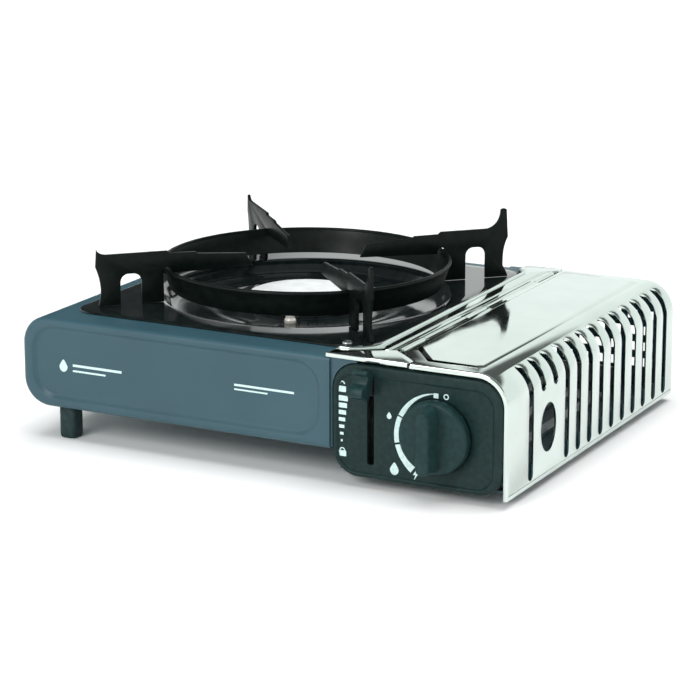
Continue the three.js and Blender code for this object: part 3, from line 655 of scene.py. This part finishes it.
class STOVE_OT_strip(bpy.types.Operator):
    """Bright strip between the tray and the lid, with its rolled bead and hinge barrels"""
    bl_idname = "stove.strip"
    bl_label = "Top strip"

    def execute(self, context):
        low = LID_TOP - context.scene.stove_sizes.sheet / MM
        corner = arc(STRIP_INNER - STRIP_CORNER, STRIP_FRONT + STRIP_CORNER, STRIP_CORNER, 0, -90, 15)
        inner = [(62, BACK), (62, 120.5), (STRIP_INNER, 114)] + corner + [(STRIP_LEFT, STRIP_FRONT)]
        outer = [(STRIP_LEFT, FRONT + 0.6), (NOSE_X - 1.3, FRONT + 0.6), (NOSE_X - 1.3, NOSE_Y - 16.4),
                 (LID_LEFT - 1.8, NOSE_Y - 0.4), (HINGE_X - 3, NOSE_Y + 3), (HINGE_X - 3, 123),
                 (LID_LEFT - 1.8, 126), (LID_LEFT - 1.8, BACK)]
        strip = prism("strip_sheet", "XY", inner + outer, low, LID_TOP)
        soften(strip, 0.3, 2)
        lip = plate("lip", "YZ", (FRONT, FRONT + 1.9, 79.2, 82.5), 0.9, STRIP_LEFT, NOSE_X - 1.3, 5)
        rear = plate("rear", "YZ", (BACK - 1.2, BACK, 79.2, LID_TOP), 0.5, STRIP_INNER, LID_LEFT - 1.8, 3)
        soften(lip, 0.3, 2)
        path = [(STRIP_INNER + BEAD_INSET, y) for y in range(112, -100, -8)]
        for x, y in corner:
            share = (x - STRIP_INNER + STRIP_CORNER) / STRIP_CORNER
            path.append((x + BEAD_INSET * share, y - BEAD_INSET * (1 - share)))
        path.append((STRIP_LEFT + 0.8, STRIP_FRONT - BEAD_INSET))
        bead = sweep("bead", [(x, y, LID_TOP - 0.1) for x, y in path], 1.35, 1.25, 14)
        ridge = sweep("ridge", [(79.4, y, LID_TOP - 0.2) for y in range(-112, 121, 8)], 1.1, 0.9, 12)
        barrels = hinge_parts(((-106, -76), (-16, 14), (92, 122)), HINGE_X - 3.2, HINGE_X - 1.5, low)
        whole = join_meshes("top_strip_sheet", [strip, lip, rear, bead, ridge] + barrels)
        present(whole, "chrome_sheet", "stove", ["top_strip"])
        return {"FINISHED"}


LID_CORNER = 20
OVAL_Y = -74.5
OVAL_Z = 36.2
SLOT_INNER = 162.2  # where a slot ends in the lid's top
FIRST_SLOT = -100.5
LONG_SLOT = 9.2
SHORT_SLOT = 60.5


def lid_loop(inset, y, thick=0.0, past=0.0):
    """Round the lid's cross-section; past carries it beyond the lid's open sides."""
    outline = round_rect(LID_LEFT - past, RIGHT - inset - thick, LID_BOTTOM - past, LID_TOP - inset - thick,
                         (0.2, 0.2, LID_CORNER - inset - thick, 0.2), 14)
    return on_plane("XZ", outline, y)


def slot_cutter(bottom, width):
    """A cooling slot's cutter: round below and round in plan at the top."""
    half = width / 2
    corners = (half - 0.1, half - 0.1, 0.1, 0.1)
    sides = plate("slot", "YZ", (-half, half, bottom, 95), corners, SLOT_INNER, 176, 6)
    end = prism("end", "XY", arc(SLOT_INNER, 0, half, 0, 345, 23), 62, 95)
    combine(sides, [end], "UNION")
    return centred(sides)


class STOVE_OT_lid(bpy.types.Operator):
    """Bright cartridge lid with its cooling slots, oval hole and raised panel"""
    bl_idname = "stove.lid"
    bl_label = "Cartridge lid"

    def execute(self, context):
        sizes = context.scene.stove_sizes
        sheet = sizes.sheet / MM
        width = sizes.slot_width / MM
        pitch = sizes.slot_pitch / MM
        front_loops = edge_loops(lid_loop, 1.2, FRONT, 1, 3)
        lid = loft("lid_shell", front_loops + edge_loops(lid_loop, 3, BACK, -1)[::-1])

        def inside(inset, y):
            return lid_loop(inset, y, sheet, 6)

        inner = loft("inner", [inside(0, FRONT + sheet)] + edge_loops(inside, 1.8, BACK - sheet, -1)[::-1])
        mouth = loft("mouth", [lid_loop(2.3, FRONT - 1, 0, 6), lid_loop(2.3, FRONT + 3, 0, 6)])
        rear = loft("rear", [lid_loop(9, BACK - 3, 0, 6), lid_loop(9, BACK + 1, 0, 6)])
        nose = prism("nose", "XY", [(LID_LEFT - 2, FRONT - 2), (NOSE_X, FRONT - 2), (NOSE_X, NOSE_Y - 16),
                                    (LID_LEFT, NOSE_Y), (LID_LEFT - 2, NOSE_Y)], 70, 90)
        oval = []
        for k in range(40):
            angle = math.pi * k / 20
            oval.append((OVAL_Y + 11.5 * math.cos(angle), OVAL_Z + 15.5 * math.sin(angle)))
        hole = prism("hole", "YZ", oval, RIGHT - 6, RIGHT + 3)
        cutters = [inner, mouth, rear, nose, hole]
        for start, count, bottom in ((0, 1, LONG_SLOT), (1, 2, SHORT_SLOT), (3, 10, LONG_SLOT)):
            cutters.append(repeat(f"slots_{start}", slot_cutter(bottom, width), count, step=(0, pitch, 0),
                                  finish="chrome_sheet", at=(0, FIRST_SLOT + pitch * start, 0)))
        combine(lid, cutters)
        outline = [(93.5, -97), (113, -122), (144, -122), (147, -119), (147, 120), (144, 123), (96.5, 123),
                   (93.5, 120)]
        raised = []
        for rise, out in ((-0.4, 1.2), (0.05, 1.0), (0.75, -0.8), (0.85, -1.6)):
            raised.append([(x + out * (1 if x > 120 else -1), y + out * (1 if y > 0 else -1), LID_TOP + rise)
                           for x, y in outline])
        panel = loft("panel", raised)
        combine(lid, [panel], "UNION")
        groove = plate("groove", "XZ", (RIGHT - 0.45, RIGHT + 1, 7.9, 8.6), 0.1, FRONT + 3, BACK - 3)
        combine(lid, [groove])
        soften(lid, 0.22, 2, 40)
        edge = [(NOSE_X + 0.6, LID_TOP - 0.4)] + [(x, LID_TOP - 0.4) for x in range(110, 150, 5)]
        edge += arc(RIGHT - LID_CORNER, 62.2, 18.9, 90, 0, 15)
        edge += [(168.9, z) for z in range(58, 6, -6)]
        rim = sweep("rim", [(x, FRONT + 1.1, z) for x, z in edge], 1.05, 1.1, 14)
        barrels = hinge_parts(((-75.5, -16.5), (14.5, 91.5)), HINGE_X + 1.5, LID_LEFT + 0.2, LID_TOP - sheet)
        whole = join_meshes("lid_sheet", [lid, rim] + barrels)
        present(whole, "chrome_sheet", "lid", ["cartridge_lid"])
        return {"FINISHED"}


# ---------------------------------------------------------------- control panel
PANEL_FACE = FASCIA[2]
INNER_FACE = PANEL_FACE + 1.4


def panel_loop(left, right, below, above, corners, y):
    """Round the panel, each side in from its outline by its own distance."""
    outline = round_rect(FASCIA[0] + left, FASCIA[1] - right, FASCIA[4] + below, FASCIA[5] - above,
                         corners, 10)
    return on_plane("XZ", outline, y)


def fascia_loop(inset, y):
    return panel_loop(inset, inset, inset, inset, FASCIA_CORNER - inset, y)


def sunk_loop(inset, y):
    """Round the panel's sunk face, which comes close to its edge on the left and below."""
    corners = (14 - inset, 13 - inset, 12 - inset, 12 - inset)
    return panel_loop(2.6 + inset, 6 + inset, 2.1 + inset, 6 + inset, corners, y)


class STOVE_OT_panel(bpy.types.Operator):
    """Moulded control panel with its knob hole and lever slot"""
    bl_idname = "stove.panel"
    bl_label = "Control panel"

    def execute(self, context):
        face = PANEL_FACE
        loops = [sunk_loop(1.9, INNER_FACE), sunk_loop(1.4, INNER_FACE - 0.1), sunk_loop(0.5, face + 0.2),
                 sunk_loop(0, face)]
        loops += edge_loops(fascia_loop, 2.0, face, 1)
        loops += [fascia_loop(0, FASCIA[3])]
        panel = loft("panel_moulding", loops)
        inner = loft("inner", [fascia_loop(2.2, face + 3.2), fascia_loop(2.2, FASCIA[3] + 1)])
        shaft = prism("shaft", "XZ", arc(KNOB_X, KNOB_Z, 5.5, 0, 350, 35), face - 2, face + 6)
        slot = plate("slot", "XZ", (76.7, 81.4, 15.1, 70), 1.6, face - 2, face + 6, 5)
        outline = [(0.01, face - 1), (23.1, face - 1), (23.1, face + 2.3), (22.9, face + 2.5),
                   (0.01, face + 2.5)]
        well = lathe("well", "Y", outline, (KNOB_X, KNOB_Z), 72)
        combine(panel, [inner, shaft, slot, well])
        soften(panel, 0.25, 2, 40)
        present(panel, "black_plastic", "stove", ["fascia"])
        return {"FINISHED"}


class STOVE_OT_knob(bpy.types.Operator):
    """Control knob: a round skirt with an upright grip"""
    bl_idname = "stove.knob"
    bl_label = "Control knob"

    def execute(self, context):
        back = KNOB[3] + 1.6  # its edge sits down in the panel's well
        tip = KNOB[2]
        r = (KNOB[1] - KNOB[0]) / 2
        profile = [(0.01, back), (r - 0.4, back), (r, back - 0.5), (r, back - 4.2), (r - 0.4, back - 5.2),
                   (r - 1.2, back - 6.2), (r - 2.0, back - 6.6), (r - 3.2, back - 6.8), (0.01, back - 6.6)]
        skirt = lathe("skirt", "Y", profile, (KNOB_X, KNOB_Z), 96)
        loops = []
        for y, half, tall in ((back - 6.0, 6.4, 21.2), (back - 7.0, 5.6, 20.9), (back - 9.4, 5.0, 20.5),
                              (tip + 2.2, 4.4, 19.6), (tip + 0.9, 4.1, 19.2), (tip + 0.2, 3.5, 18.4),
                              (tip, 2.8, 17.6)):
            outline = round_rect(KNOB_X - half, KNOB_X + half, KNOB_Z - tall, KNOB_Z + tall, half - 0.1, 8)
            loops.append(on_plane("XZ", outline, y))
        grip = loft("grip", loops)
        combine(skirt, [grip], "UNION")
        soften(skirt, 0.2, 2, 40)
        skirt.name = "knob_moulding"
        present(skirt, "handle", "knob", ["control_knob"])
        return {"FINISHED"}


LEVER_PIVOT_Y = -95.0
LEVER_PIVOT_Z = 46.8
LEVER_REST = math.radians(23)


class STOVE_OT_lever(bpy.types.Operator):
    """Grip of the lock lever, hollowed for a finger"""
    bl_idname = "stove.lever"
    bl_label = "Lever grip"

    def execute(self, context):
        x0, x1, _, _, _, _ = span("lever_grip")

        def at(r, side):
            """A point r along the lever from its pivot, and side above its middle line."""
            return (LEVER_PIVOT_Y - r * math.cos(LEVER_REST) + side * math.sin(LEVER_REST),
                    LEVER_PIVOT_Z + r * math.sin(LEVER_REST) + side * math.cos(LEVER_REST))

        outline = [at(r, side) for r, side in (
            (47.6, -8.4), (57.4, -8.4), (58.7, -7.6), (59, -6), (59, -3.4), (58.2, -2.2), (56.2, -1.4),
            (54.6, 0.4), (54.4, 3.4), (55.2, 5.2), (57.4, 5.8), (58, 7), (57.2, 8.2), (55.5, 8.4),
            (47.6, 8.4))]
        grip = prism("lever_moulding", "YZ", outline, x0, x1)
        soften(grip, 0.35, 2, 40)
        present(grip, "handle", "lever", ["lever_grip"])
        return {"FINISHED"}


# ---------------------------------------------------------------- printed marks
def flat_mark(name, outline, rise):
    return prism(name, "XZ", outline, INNER_FACE - rise, INNER_FACE + 0.08)


def flame(cx, cz, size):
    """A plain flame: a drop with a tip."""
    shape = []
    for k in range(24):
        t = 2 * math.pi * k / 24
        rise = math.sin(t)
        above = max(0.0, rise)
        across = 0.42 * math.cos(t) * (1 - 0.55 * above)
        shape.append((cx + size * across, cz + size * (0.5 * rise + 0.12 * above)))
    return shape


BAND_X = KNOB_X + 1.3
BAND_Z = KNOB_Z - 1.4


def dial_arc(middle, thin, thick, start, end, steps=24):
    """A band round the knob that grows from thin to thick."""
    outer = []
    inner = []
    for k in range(steps + 1):
        angle = math.radians(start + (end - start) * k / steps)
        half = (thin + (thick - thin) * k / steps) / 2
        for side, radius in ((outer, middle + half), (inner, middle - half)):
            side.append((BAND_X + radius * math.cos(angle), BAND_Z + radius * math.sin(angle)))
    return outer + inner[::-1]


def ring_mark(name, cx, cz, radius, width, rise):
    """A printed circle."""
    outer = arc(cx, cz, radius, 0, 359, 32)
    inner = arc(cx, cz, radius - width, 359, 0, 32)
    return flat_mark(name, outer + inner, rise)


def padlock(cx, cz, lift, rise):
    """A padlock sign: its body, and its shackle, lifted when open."""
    body = flat_mark("padlock", round_rect(cx - 2.6, cx + 2.6, cz - 2.4, cz + 1.2, 0.4, 3), rise)
    shackle = arc(cx, cz + 1.3 + lift, 1.9, 0, 180, 12) + arc(cx, cz + 1.3 + lift, 1.2, 180, 0, 12)
    return [body, flat_mark("shackle", shackle, rise)]


class STOVE_OT_marks(bpy.types.Operator):
    """Printed marks: the dial band, flames, spark, lever scale and padlocks"""
    bl_idname = "stove.marks"
    bl_label = "Printed marks"

    def execute(self, context):
        rise = context.scene.stove_sizes.print_height / MM
        marks = []
        for start, end, thin, thick in ((97, 157, 0.4, 3.6), (159, 192.5, 3.8, 5.2), (195, 232, 5.3, 5.6)):
            marks.append(flat_mark("band", dial_arc(27.3, thin, thick, start, end), rise))
        marks.append(flat_mark("off", round_rect(120.9, 124.1, 62.7, 65.7, 0.3, 2), rise))
        marks.append(ring_mark("off_ring", 129.2, 64.3, 1.8, 0.7, rise))
        marks.append(flat_mark("low", flame(91.6, 47.6, 3.8), rise))
        marks.append(flat_mark("high", flame(95.2, 14.7, 7.0), rise))
        bolt = [(0.9, 4.2), (-2.1, -0.4), (-0.2, -0.4), (-1.2, -4.2), (2.1, 0.8), (0.2, 0.8)]
        marks.append(flat_mark("spark", [(109.4 + x * 0.85, 13.4 + z * 0.85) for x, z in bolt], rise))
        marks += padlock(59.9, 61.0, 1.3, rise)
        marks += padlock(60.0, 20.6, 0.0, rise)
        bar = flat_mark("bar", round_rect(-4.1, 4.1, -1.65, 1.65, 0.2, 2), rise)
        marks.append(repeat("scale", centred(bar), 7, step=(0, 0, -4.43), size_step=(-0.142, 0, -0.096),
                            at=(59.6, 0, 54.6)))
        present(join_meshes("panel_marks", marks), "ink", "stove")
        level = FRONT + context.scene.stove_sizes.recess_depth / MM
        left = [flame(-140.5, 49, 7.2), round_rect(-133.5, -97, 49.6, 51.2, 0.3, 2),
                round_rect(-133.5, -109, 46.2, 47.4, 0.3, 2)]
        right = [round_rect(-15.5, 26.5, 52.4, 53.8, 0.3, 2), round_rect(-15.5, 8, 49.8, 50.8, 0.3, 2)]
        for name, shapes in (("casing_mark_left", left), ("casing_mark_right", right)):
            prints = [prism("print", "XZ", shape, level - rise, level + 0.1) for shape in shapes]
            present(join_meshes(name, prints), "ink", "stove")
        return {"FINISHED"}


# ---------------------------------------------------------------- pan support
class STOVE_OT_pan_support(bpy.types.Operator):
    """Enamelled ring with a rolled rim, and its four upright arms"""
    bl_idname = "stove.pan_support"
    bl_label = "Pan support"

    def execute(self, context):
        top = RING[5]
        bottom = RING[4]
        profile = [(89.4, bottom), (90.2, bottom + 1.2), (93.0, bottom + 9), (94.6, top - 2.6)]
        profile += arc(94.1, top - 1.3, 1.3, -20, 200, 9)
        profile += [(92.2, top - 3.2), (91.2, bottom + 9), (88.6, bottom + 1.2), (88.3, bottom + 0.4)]
        present(lathe("ring_pressing", "Z", profile, (BURNER_X, BURNER_Y), 160),
                "support_black", "pan_support", ["support_ring"])
        foot = span("support_arm_front_left")[4]
        for name, tall, turn in (("front_right", True, -45), ("rear_right", True, 45),
                                 ("rear_left", False, 135), ("front_left", False, -135)):
            arm = prism(f"arm_plate_{name}", "XZ", arm_outline(tall, foot), -1.1, 1.1)
            centred(arm)
            room = [(87.6, 84), (90.6, 84), (92, 90), (95.6, 102.6), (95.6, 104.1), (92, 104.1),
                    (91.2, 102.6), (90.2, 96)]
            combine(arm, [centred(lathe("clear", "Z", room, (0, 0), 96))])
            soften(arm, 0.4, 2, 40)
            arm.data.transform(Matrix.Rotation(math.radians(turn), 4, "Z"))
            arm.data.transform(Matrix.Translation((BURNER_X * MM, (BURNER_Y + SHIFT) * MM, 0)))
            present(arm, "support_black", "pan_support", [f"support_arm_{name}"])
        return {"FINISHED"}


def curve(start, bend, end, steps=8):
    """Points along a bend from start to end, start left out."""
    points = []
    for k in range(1, steps + 1):
        t = k / steps
        weights = ((1 - t) ** 2, 2 * t * (1 - t), t * t)
        points.append(tuple(sum(w * c for w, c in zip(weights, axis)) for axis in zip(start, bend, end)))
    return points


def arm_outline(tall, foot):
    """An arm seen from the side: distance from the burner's axis, and height."""
    a = 110.8  # the window between the arm's two feet, from a to b
    b = 124.8
    r = 5.5
    top = 103 if tall else 101.6
    points = [(37, 101.5), (60, 101), (96.5, 100), (96, foot), (a, foot)]
    points += arc(a + r, top - r, r, 180, 90, 9) + arc(b - r, top - r, r, 90, 0, 9)
    points.append((b, foot))
    if tall:
        points.append((141, foot))
        points += curve((141, foot), (139.4, 86.5), (137.4, 89))
        points += curve((137.4, 89), (136.8, 102), (140.8, 108.6))
        points.append((139.8, 127.4))
        points += curve((139.8, 127.4), (138, 128.8), (135.6, 127.4))
        points += curve((135.6, 127.4), (135.4, 117.5), (126.5, 115))
    else:
        points.append((139.4, foot))
        points += curve((139.4, foot), (137.8, 86), (137.6, 92))
        points += curve((137.6, 92), (138, 100), (141, 107))
        points.append((140.2, 118.6))
        points += curve((140.2, 118.6), (138.6, 115.4), (134, 115))
    return points + [(93.5, 115), (91.5, 113.4), (75, 113.2), (73, 112), (41, 110)]


# ---------------------------------------------------------------- burner
class STOVE_OT_burner(bpy.types.Operator):
    """Burner head with its flame ports, and the cap on it"""
    bl_idname = "stove.burner"
    bl_label = "Burner"

    def execute(self, context):
        ports = context.scene.stove_sizes.flame_ports
        centre = (BURNER_X, BURNER_Y)
        profile = [(0.01, 79.1), (36.6, 79.1), (37.8, 79.4), (38, 79.7), (37.8, 80.1), (35.5, 80.9),
                   (28, 81.3), (20, 81.5), (0.01, 81.7)]
        cap = lathe("cap_pressing", "Z", profile, centre, 96)
        present(cap, "bright_alloy", "stove", ["burner_cap"])
        profile = [(24, 74.2), (34, 74.2), (36, 75.2), (36, 76.2), (35, 76.8), (35, 78.8), (31, 78.8),
                   (29, 76.4), (24, 75.4)]
        head = lathe("head_casting", "Z", profile, centre, 96)
        notch = plate("notch", "YZ", (-0.7, 0.7, 77.1, 79.7), 0.6, 27, 38, 3)
        cutters = repeat("ports", centred(notch), ports, turn=360 / ports, finish="cast_alloy",
                         at=(BURNER_X, BURNER_Y, 0))
        combine(head, [cutters])
        soften(head, 0.12, 1, 40)
        present(head, "cast_alloy", "stove", ["burner_head"])
        return {"FINISHED"}


# ---------------------------------------------------------------- feet
class STOVE_OT_feet(bpy.types.Operator):
    """Moulded feet with softened edges"""
    bl_idname = "stove.feet"
    bl_label = "Feet"

    def execute(self, context):
        for name in ("foot_front_left", "foot_rear_left", "foot_front_right", "foot_rear_right"):
            x0, x1, y0, y1, z0, z1 = span(name)
            loops = []
            for inset, z in ((1.2, z0), (0.5, z0 + 0.3), (0.1, z0 + 1.2), (0, z0 + 2.2), (0, z1 - 1.5),
                             (0.4, z1 - 0.3), (0.9, z1)):
                outline = round_rect(x0 + inset, x1 - inset, y0 + inset, y1 - inset, 3, 6)
                loops.append(on_plane("XY", outline, z))
            present(loft(f"{name}_moulding", loops), "black_rubber", "stove", [name])
        return {"FINISHED"}


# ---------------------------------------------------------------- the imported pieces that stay
class STOVE_OT_inner_pieces(bpy.types.Operator):
    """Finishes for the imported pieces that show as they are"""
    bl_idname = "stove.inner_pieces"
    bl_label = "Inner pieces"

    def execute(self, context):
        slots = {row["node"]: row["material_slot"] for row in frame["record"]["subparts"]}
        for node, obj in frame["nodes"].items():
            if obj.hide_render:
                continue
            obj.data.materials.clear()
            obj.data.materials.append(finishes[slots[node]])
        return {"FINISHED"}


# ---------------------------------------------------------------- stage
def look(place, aim):
    """The rotation that turns a camera or lamp at one place towards another."""
    return (Vector(aim) - Vector(place)).to_track_quat("-Z", "Y").to_euler()


def studio_world():
    """White walls up to a dim ceiling, with a dark screen standing behind and to the left."""
    world = bpy.data.worlds.new("studio")
    world.use_nodes = True
    tree = world.node_tree
    nodes = tree.nodes
    coordinates = nodes.new("ShaderNodeTexCoord")
    split = nodes.new("ShaderNodeSeparateXYZ")
    ramp = nodes.new("ShaderNodeValToRGB")
    stops = ramp.color_ramp.elements
    stops[0].position = 0.0
    stops[0].color = (0.95, 1.0, 0.985, 1)
    stops[1].position = 1.0
    stops[1].color = (0.30, 0.32, 0.33, 1)
    for position, level in ((0.46, 0.93), (0.55, 0.12), (0.75, 0.09)):
        stop = stops.new(position)
        stop.color = (level, level * 1.05, level * 1.035, 1)
    turn = nodes.new("ShaderNodeMath")
    turn.operation = "ARCTAN2"
    wire(tree, (coordinates, "Generated", split, "Vector"), (split, "Z", ramp, "Fac"), (split, "X", turn, 0),
         (split, "Y", turn, 1))
    level = nodes.new("ShaderNodeMath")
    level.operation = "MAXIMUM"
    for entry, start, end, low, high, kind in ((0, -31.5, -27.5, 0.04, 1.0, "SMOOTHSTEP"),
                                               (1, -70, -62, 1.0, 0.0, "LINEAR")):
        edge = map_range(tree, turn.outputs["Value"], math.radians(start), math.radians(end), low, high, kind)
        tree.links.new(edge, level.inputs[entry])
    shade = nodes.new("ShaderNodeVectorMath")
    shade.operation = "SCALE"
    wire(tree, (ramp, "Color", shade, 0), (level, "Value", shade, "Scale"),
         (shade, "Vector", nodes["Background"], "Color"))
    nodes["Background"].inputs["Strength"].default_value = 1.15
    return world


class STOVE_OT_stage(bpy.types.Operator):
    """Camera, pale floor and soft light"""
    bl_idname = "stove.stage"
    bl_label = "Stage"

    def execute(self, context):
        scene = context.scene
        lens = bpy.data.cameras.new("camera")
        lens.lens = 140.6
        lens.sensor_width = 36
        lens.clip_end = 60
        camera = link(bpy.data.objects.new("camera", lens))
        camera.location = (0.7908, -1.5182, 0.5044)
        camera.rotation_euler = look(camera.location, (0.0020, -0.0046, 0.0507))
        scene.camera = camera
        scene.view_settings.view_transform = "Standard"

        bpy.ops.mesh.primitive_plane_add(size=30, location=(0, 0, 0))
        floor = context.object
        floor.name = "floor"
        material, _, _ = shader("pale floor", (0.93, 0.93, 0.93), 0.0, 0.9)
        floor.data.materials.append(material)

        scene.world = studio_world()
        lamp = bpy.data.lights.new("key", "AREA")
        lamp.shape = "RECTANGLE"
        lamp.size = 1.0
        lamp.size_y = 1.0
        lamp.energy = 24
        key = link(bpy.data.objects.new("key", lamp))
        key.location = (-0.45, -1.9, 1.35)
        key.rotation_euler = look(key.location, (0, 0, 0.05))
        lamp = bpy.data.lights.new("overhead", "SUN")
        lamp.angle = math.radians(55)
        lamp.energy = 2.6
        overhead = link(bpy.data.objects.new("overhead", lamp))
        overhead.rotation_euler = (math.radians(-8), math.radians(6), 0)
        overhead.visible_glossy = False
        return {"FINISHED"}


class STOVE_PT_panel(bpy.types.Panel):
    """Buttons for the stove's pieces"""
    bl_idname = "STOVE_PT_panel"
    bl_label = "Cartridge Stove"
    bl_space_type = "VIEW_3D"
    bl_region_type = "UI"
    bl_category = "Stove"

    def draw(self, context):
        for settings in (context.scene.stove_sizes, context.scene.stove_colours):
            for key in settings.__annotations__:
                self.layout.prop(settings, key)
        for operator in OPERATORS:
            self.layout.operator(operator.bl_idname)


OPERATORS = (STOVE_OT_stage, STOVE_OT_casing, STOVE_OT_tray, STOVE_OT_strip, STOVE_OT_lid, STOVE_OT_panel,
             STOVE_OT_knob, STOVE_OT_lever, STOVE_OT_marks, STOVE_OT_pan_support, STOVE_OT_burner,
             STOVE_OT_feet, STOVE_OT_inner_pieces)
CLASSES = (StoveSizes, StoveColours, *OPERATORS, STOVE_PT_panel)


def register():
    for cls in CLASSES:
        bpy.utils.register_class(cls)
    bpy.types.Scene.stove_sizes = PointerProperty(type=StoveSizes)
    bpy.types.Scene.stove_colours = PointerProperty(type=StoveColours)


def unregister():
    del bpy.types.Scene.stove_colours
    del bpy.types.Scene.stove_sizes
    for cls in reversed(CLASSES):
        bpy.utils.unregister_class(cls)


def main():
    register()
    make_finishes(bpy.context.scene.stove_colours)
    for operator in OPERATORS:
        module, name = operator.bl_idname.split(".")
        getattr(getattr(bpy.ops, module), name)()


if __name__ == "__main__":
    main()
